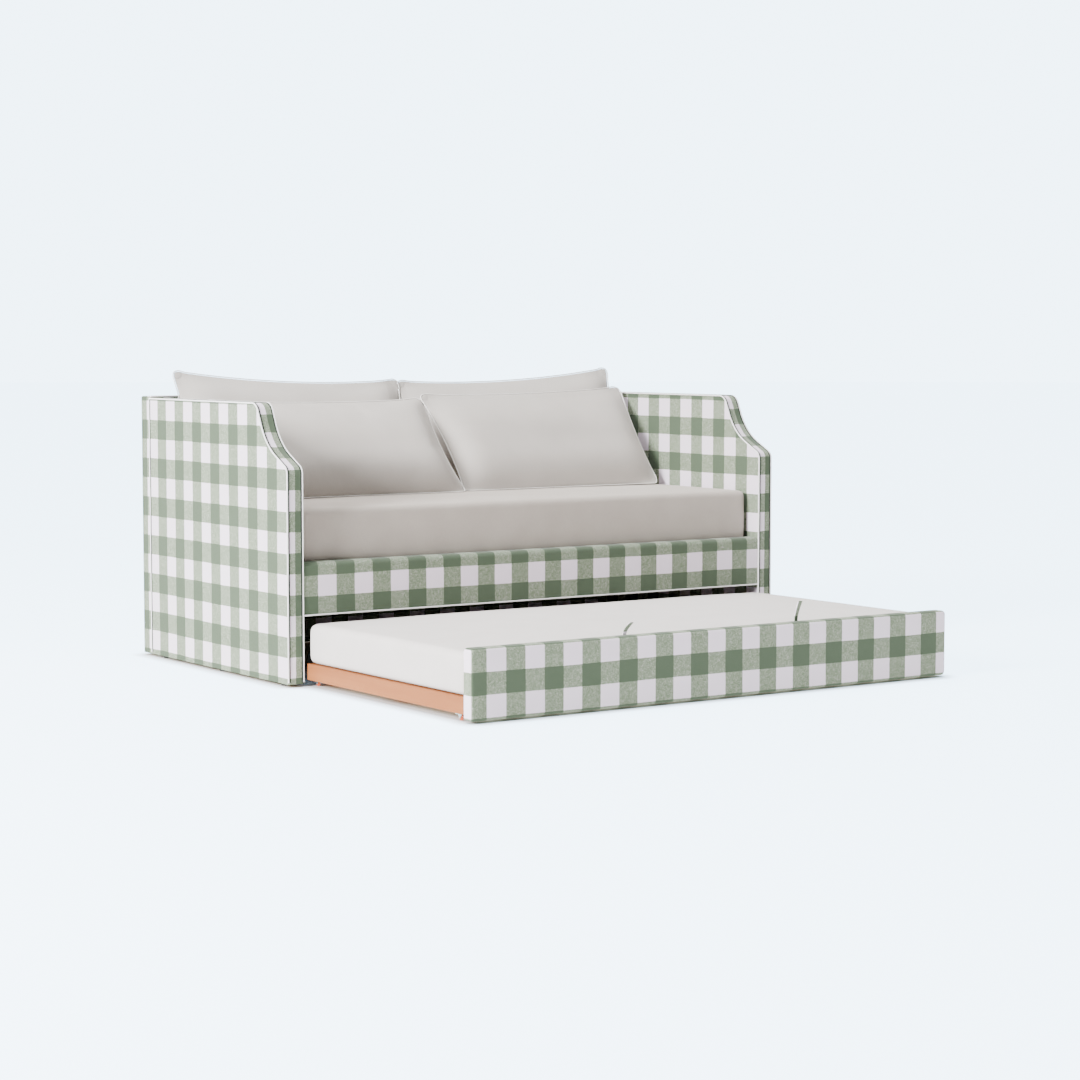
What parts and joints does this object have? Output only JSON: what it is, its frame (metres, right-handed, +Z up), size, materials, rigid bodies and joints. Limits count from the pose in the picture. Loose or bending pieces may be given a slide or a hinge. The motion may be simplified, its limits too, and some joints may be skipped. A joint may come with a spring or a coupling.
{
  "type": "trundle daybed",
  "caption": "Upholstered gingham daybed with swooped arms, pillows and a pull-out trundle bed on small recessed casters, each level with its own mattress",
  "frame": {"origin": "on the floor under the middle of the whole, trundle drawn out", "axes": "+X along the bed to the right as seen from the front, +Y from front to back, +Z up"},
  "size_m": [2.0492, 2.114, 1.0226],
  "materials": {
    "gingham_cover": "woven cotton gingham in grey green, mixed and white checks, matte",
    "gingham_piping": "the same gingham cut on the straight and sewn round a cord, matte",
    "padding": "white polyester wadding over foam, matte",
    "hardboard": "brown hardboard, smooth",
    "frame_timber": "planed softwood, unfinished",
    "slat_timber": "planed softwood slats, unfinished",
    "trundle_timber": "planed pale softwood, clear satin finish",
    "bracket_steel": "zinc-plated steel sheet",
    "fastener_steel": "zinc-plated steel",
    "caster_wheel": "solid orange polyurethane, satin",
    "glide_plastic": "black nylon, matte",
    "mattress_ticking": "fine off-white knitted cotton, matte",
    "pillow_linen": "light grey washed linen, matte",
    "strap_webbing": "narrow dark woven webbing, matte"
  },
  "bodies": {
    "bed": {"back_boards": "hardboard", "back_cover": "gingham_cover", "back_frame": "frame_timber", "back_padding": "padding", "back_piping": "gingham_piping", "bed_slats": "slat_timber", "bracket_bolts": "fastener_steel", "day_mattress": "mattress_ticking", "deck_beam": "frame_timber", "floor_glides": "glide_plastic", "front_ledger": "frame_timber", "front_rail_board": "frame_timber", "front_rail_cover": "gingham_cover", "front_rail_padding": "padding", "front_rail_piping": "gingham_piping", "left_arm_boards": "hardboard", "left_arm_cover": "gingham_cover", "left_arm_frame": "frame_timber", "left_arm_padding": "padding", "left_arm_piping": "gingham_piping", "pillow_back_left": "pillow_linen", "pillow_back_right": "pillow_linen", "pillow_front_left": "pillow_linen", "pillow_front_right": "pillow_linen", "rear_ledger": "frame_timber", "right_arm_boards": "hardboard", "right_arm_cover": "gingham_cover", "right_arm_frame": "frame_timber", "right_arm_padding": "padding", "right_arm_piping": "gingham_piping", "steel_brackets": "bracket_steel"},
    "trundle": {"caster_axles": "fastener_steel", "caster_screws": "fastener_steel", "corner_blocks": "trundle_timber", "front_left_caster_fork": "bracket_steel", "front_right_caster_fork": "bracket_steel", "panel_bolts": "fastener_steel", "pull_strap_left": "strap_webbing", "pull_strap_right": "strap_webbing", "rear_left_caster_fork": "bracket_steel", "rear_right_caster_fork": "bracket_steel", "trundle_beam": "trundle_timber", "trundle_front_cleat": "trundle_timber", "trundle_left_rail": "trundle_timber", "trundle_mattress": "mattress_ticking", "trundle_panel_board": "frame_timber", "trundle_panel_cover": "gingham_cover", "trundle_panel_padding": "padding", "trundle_rear_rail": "trundle_timber", "trundle_right_rail": "trundle_timber", "trundle_slats": "trundle_timber"},
    "front_left_wheel": {"front_left_wheel": "caster_wheel"},
    "front_right_wheel": {"front_right_wheel": "caster_wheel"},
    "rear_left_wheel": {"rear_left_wheel": "caster_wheel"},
    "rear_right_wheel": {"rear_right_wheel": "caster_wheel"}
  },
  "joints": [
    {"name": "trundle_slide", "type": "slide", "parent": "bed", "child": "trundle", "axis": [0, 1, 0], "range_m": [-0.05, 1.012], "deforming": ["pull_strap_left", "pull_strap_right"]},
    {"name": "front_left_wheel_spin", "type": "hinge", "parent": "trundle", "child": "front_left_wheel", "pos_m": [-0.935, -0.965, 0.0095], "axis": [1, 0, 0], "continuous": true},
    {"name": "front_right_wheel_spin", "type": "hinge", "parent": "trundle", "child": "front_right_wheel", "pos_m": [0.935, -0.965, 0.0095], "axis": [1, 0, 0], "continuous": true},
    {"name": "rear_left_wheel_spin", "type": "hinge", "parent": "trundle", "child": "rear_left_wheel", "pos_m": [-0.917, -0.057, 0.0095], "axis": [1, 0, 0], "continuous": true},
    {"name": "rear_right_wheel_spin", "type": "hinge", "parent": "trundle", "child": "rear_right_wheel", "pos_m": [0.917, -0.057, 0.0095], "axis": [1, 0, 0], "continuous": true}
  ],
  "couplings": [
    {"joint": "front_left_wheel_spin", "follows": "trundle_slide", "rad_per_m": -105.26},
    {"joint": "front_right_wheel_spin", "follows": "trundle_slide", "rad_per_m": -105.26},
    {"joint": "rear_left_wheel_spin", "follows": "trundle_slide", "rad_per_m": -105.26},
    {"joint": "rear_right_wheel_spin", "follows": "trundle_slide", "rad_per_m": -105.26}
  ]
}
